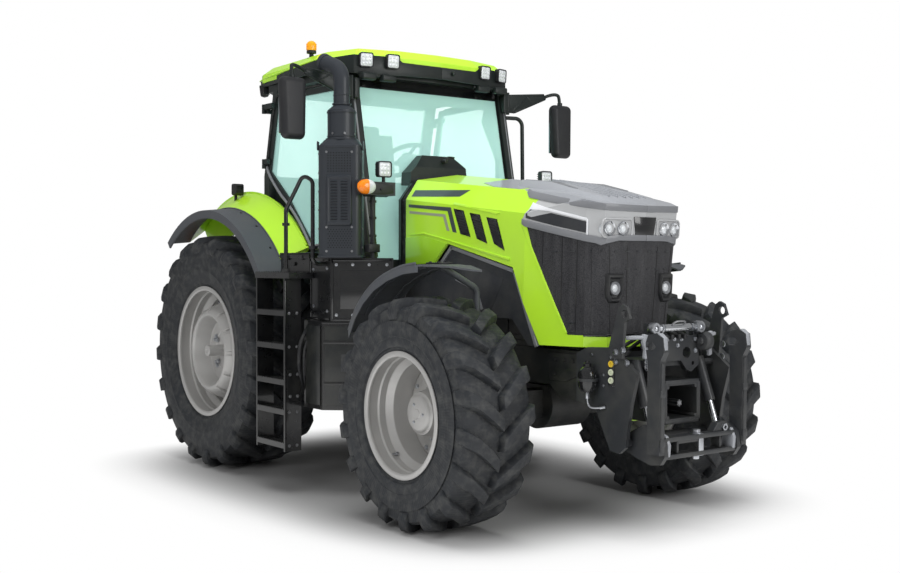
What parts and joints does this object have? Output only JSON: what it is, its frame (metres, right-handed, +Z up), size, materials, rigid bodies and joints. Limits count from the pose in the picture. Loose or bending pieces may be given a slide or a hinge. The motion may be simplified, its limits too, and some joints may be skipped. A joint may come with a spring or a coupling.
{
  "type": "farm tractor",
  "caption": "Four-wheel-drive farm tractor with a glazed cab, tilting bonnet, steered front wheels, front and rear linkages and lugged tyres.",
  "frame": {"origin": "on the ground under the middle of the machine's box", "axes": "+X forward, +Y to the left, +Z up"},
  "size_m": [5.403, 2.63, 3.25],
  "materials": {
    "green_paint": "gloss paint",
    "dark_paint": "satin paint",
    "black_paint": "gloss paint",
    "dark_plastic": "matte",
    "grey_cover": "satin",
    "silver_band": "gloss",
    "rim_silver": "satin paint",
    "tyre": "rubber",
    "cast_grey": "painted casting",
    "glass": "tinted",
    "lens": "clear",
    "seat_fabric": "woven",
    "bright_rod": "polished",
    "amber": "amber lens",
    "mesh": "mesh"
  },
  "bodies": {
    "chassis": {"rear_axle": "cast_grey", "front_axle": "cast_grey", "front_frame": "cast_grey", "engine_block": "cast_grey", "transmission": "cast_grey", "side_shields": "dark_plastic", "cab_frame": "dark_paint", "cab_glass": "glass", "roof_shell": "green_paint", "roof_band": "dark_plastic", "firewall": "dark_plastic", "seat": "seat_fabric", "cab_trim": "dark_plastic", "steering_wheel": "dark_plastic", "rear_fenders": "green_paint", "rear_flares": "dark_plastic", "steps": "dark_paint", "toolboxes": "dark_paint", "side_tanks": "black_paint", "exhaust_shroud": "dark_paint", "exhaust_pipe": "dark_paint", "lamp_brackets": "dark_plastic", "signal_lamps": "amber", "mirrors": "dark_plastic", "grab_rail": "dark_paint", "work_lamps": "lens", "beacon": "amber", "front_hitch_frame": "dark_paint", "top_links": "bright_rod", "rear_hitch": "dark_paint"},
    "wheel_rear_left": {"tyre_rear_left": "tyre", "rim_rear_left": "rim_silver"},
    "wheel_rear_right": {"tyre_rear_right": "tyre", "rim_rear_right": "rim_silver"},
    "wheel_front_left": {"tyre_front_left": "tyre", "rim_front_left": "rim_silver"},
    "wheel_front_right": {"tyre_front_right": "tyre", "rim_front_right": "rim_silver"},
    "steer_left": {"knuckle_left": "cast_grey", "front_fender_left": "dark_plastic"},
    "steer_right": {"knuckle_right": "cast_grey", "front_fender_right": "dark_plastic"},
    "bonnet": {"bonnet_shell": "green_paint", "bonnet_cover": "grey_cover", "lamp_band": "silver_band", "grille": "mesh", "headlamps": "lens"},
    "door_left": {"door_frame_left": "dark_paint", "door_glass_left": "glass"},
    "door_right": {"door_frame_right": "dark_paint", "door_glass_right": "glass"},
    "front_rocker": {"front_rocker": "dark_paint"},
    "front_links": {"front_links": "dark_paint"},
    "front_barrels": {"front_cylinder_barrels": "dark_paint"},
    "front_rods": {"front_cylinder_rods": "bright_rod"},
    "lower_links": {"lower_links": "dark_paint"},
    "lift_arms": {"lift_arms": "dark_paint"},
    "lift_rods": {"lift_rods": "dark_paint"}
  },
  "joints": [
    {"name": "roll_rear_left", "type": "hinge", "parent": "chassis", "child": "wheel_rear_left", "pos_m": [-1.3965, 0.875, 0.905], "axis": [0, 1, 0], "continuous": true},
    {"name": "roll_rear_right", "type": "hinge", "parent": "chassis", "child": "wheel_rear_right", "pos_m": [-1.3965, -0.875, 0.905], "axis": [0, 1, 0], "continuous": true},
    {"name": "steer_left", "type": "hinge", "parent": "chassis", "child": "steer_left", "pos_m": [1.4135, 0.7, 0.7], "axis": [0, 0, 1], "range_deg": [-32, 32]},
    {"name": "steer_right", "type": "hinge", "parent": "chassis", "child": "steer_right", "pos_m": [1.4135, -0.7, 0.7], "axis": [0, 0, 1], "range_deg": [-32, 32]},
    {"name": "roll_front_left", "type": "hinge", "parent": "steer_left", "child": "wheel_front_left", "pos_m": [1.4135, 0.995, 0.7], "axis": [0, 1, 0], "continuous": true},
    {"name": "roll_front_right", "type": "hinge", "parent": "steer_right", "child": "wheel_front_right", "pos_m": [1.4135, -0.995, 0.7], "axis": [0, 1, 0], "continuous": true},
    {"name": "bonnet_lift", "type": "hinge", "parent": "chassis", "child": "bonnet", "pos_m": [0.3935, 0, 2.16], "axis": [0, -1, 0], "range_deg": [0, 45]},
    {"name": "door_left_swing", "type": "hinge", "parent": "chassis", "child": "door_left", "pos_m": [-1.0365, 0.815, 2.28867], "axis": [0, 0, 1], "range_deg": [0, 60]},
    {"name": "door_right_swing", "type": "hinge", "parent": "chassis", "child": "door_right", "pos_m": [-1.0365, -0.815, 2.28867], "axis": [0, 0, -1], "range_deg": [0, 60]},
    {"name": "front_lift", "type": "hinge", "parent": "chassis", "child": "front_rocker", "pos_m": [2.4035, 0, 0.58], "axis": [0, -1, 0], "range_deg": [-30, 0]},
    {"name": "front_fold", "type": "hinge", "parent": "front_rocker", "child": "front_links", "pos_m": [2.6235, 0, 0.58], "axis": [0, 1, 0], "range_deg": [0, 90]},
    {"name": "front_cylinder_tilt", "type": "hinge", "parent": "chassis", "child": "front_barrels", "pos_m": [2.3935, 0, 1.01], "axis": [0, -1, 0], "range_deg": [-30, 30]},
    {"name": "front_cylinder_slide", "type": "slide", "parent": "front_barrels", "child": "front_rods", "axis": [0.3428, 0, -0.9394], "range_m": [-0.12, 0.12]},
    {"name": "rear_lift", "type": "hinge", "parent": "chassis", "child": "lower_links", "pos_m": [-1.8215, 0, 0.52], "axis": [0, 1, 0], "range_deg": [-15, 25]},
    {"name": "lift_arm_turn", "type": "hinge", "parent": "chassis", "child": "lift_arms", "pos_m": [-1.8215, 0, 1.21], "axis": [0, 1, 0], "range_deg": [-15, 25]},
    {"name": "lift_rod_turn", "type": "hinge", "parent": "lift_arms", "child": "lift_rods", "pos_m": [-2.2215, 0, 1.21], "axis": [0, 1, 0], "range_deg": [-25, 15]}
  ],
  "couplings": [
    {"joint": "steer_right", "follows": "steer_left", "ratio": 1},
    {"joint": "front_cylinder_tilt", "follows": "front_lift", "ratio": 0.03112},
    {"joint": "front_cylinder_slide", "follows": "front_lift", "m_per_rad": -0.13687},
    {"joint": "lift_arm_turn", "follows": "rear_lift", "ratio": 1},
    {"joint": "lift_rod_turn", "follows": "rear_lift", "ratio": -1}
  ]
}
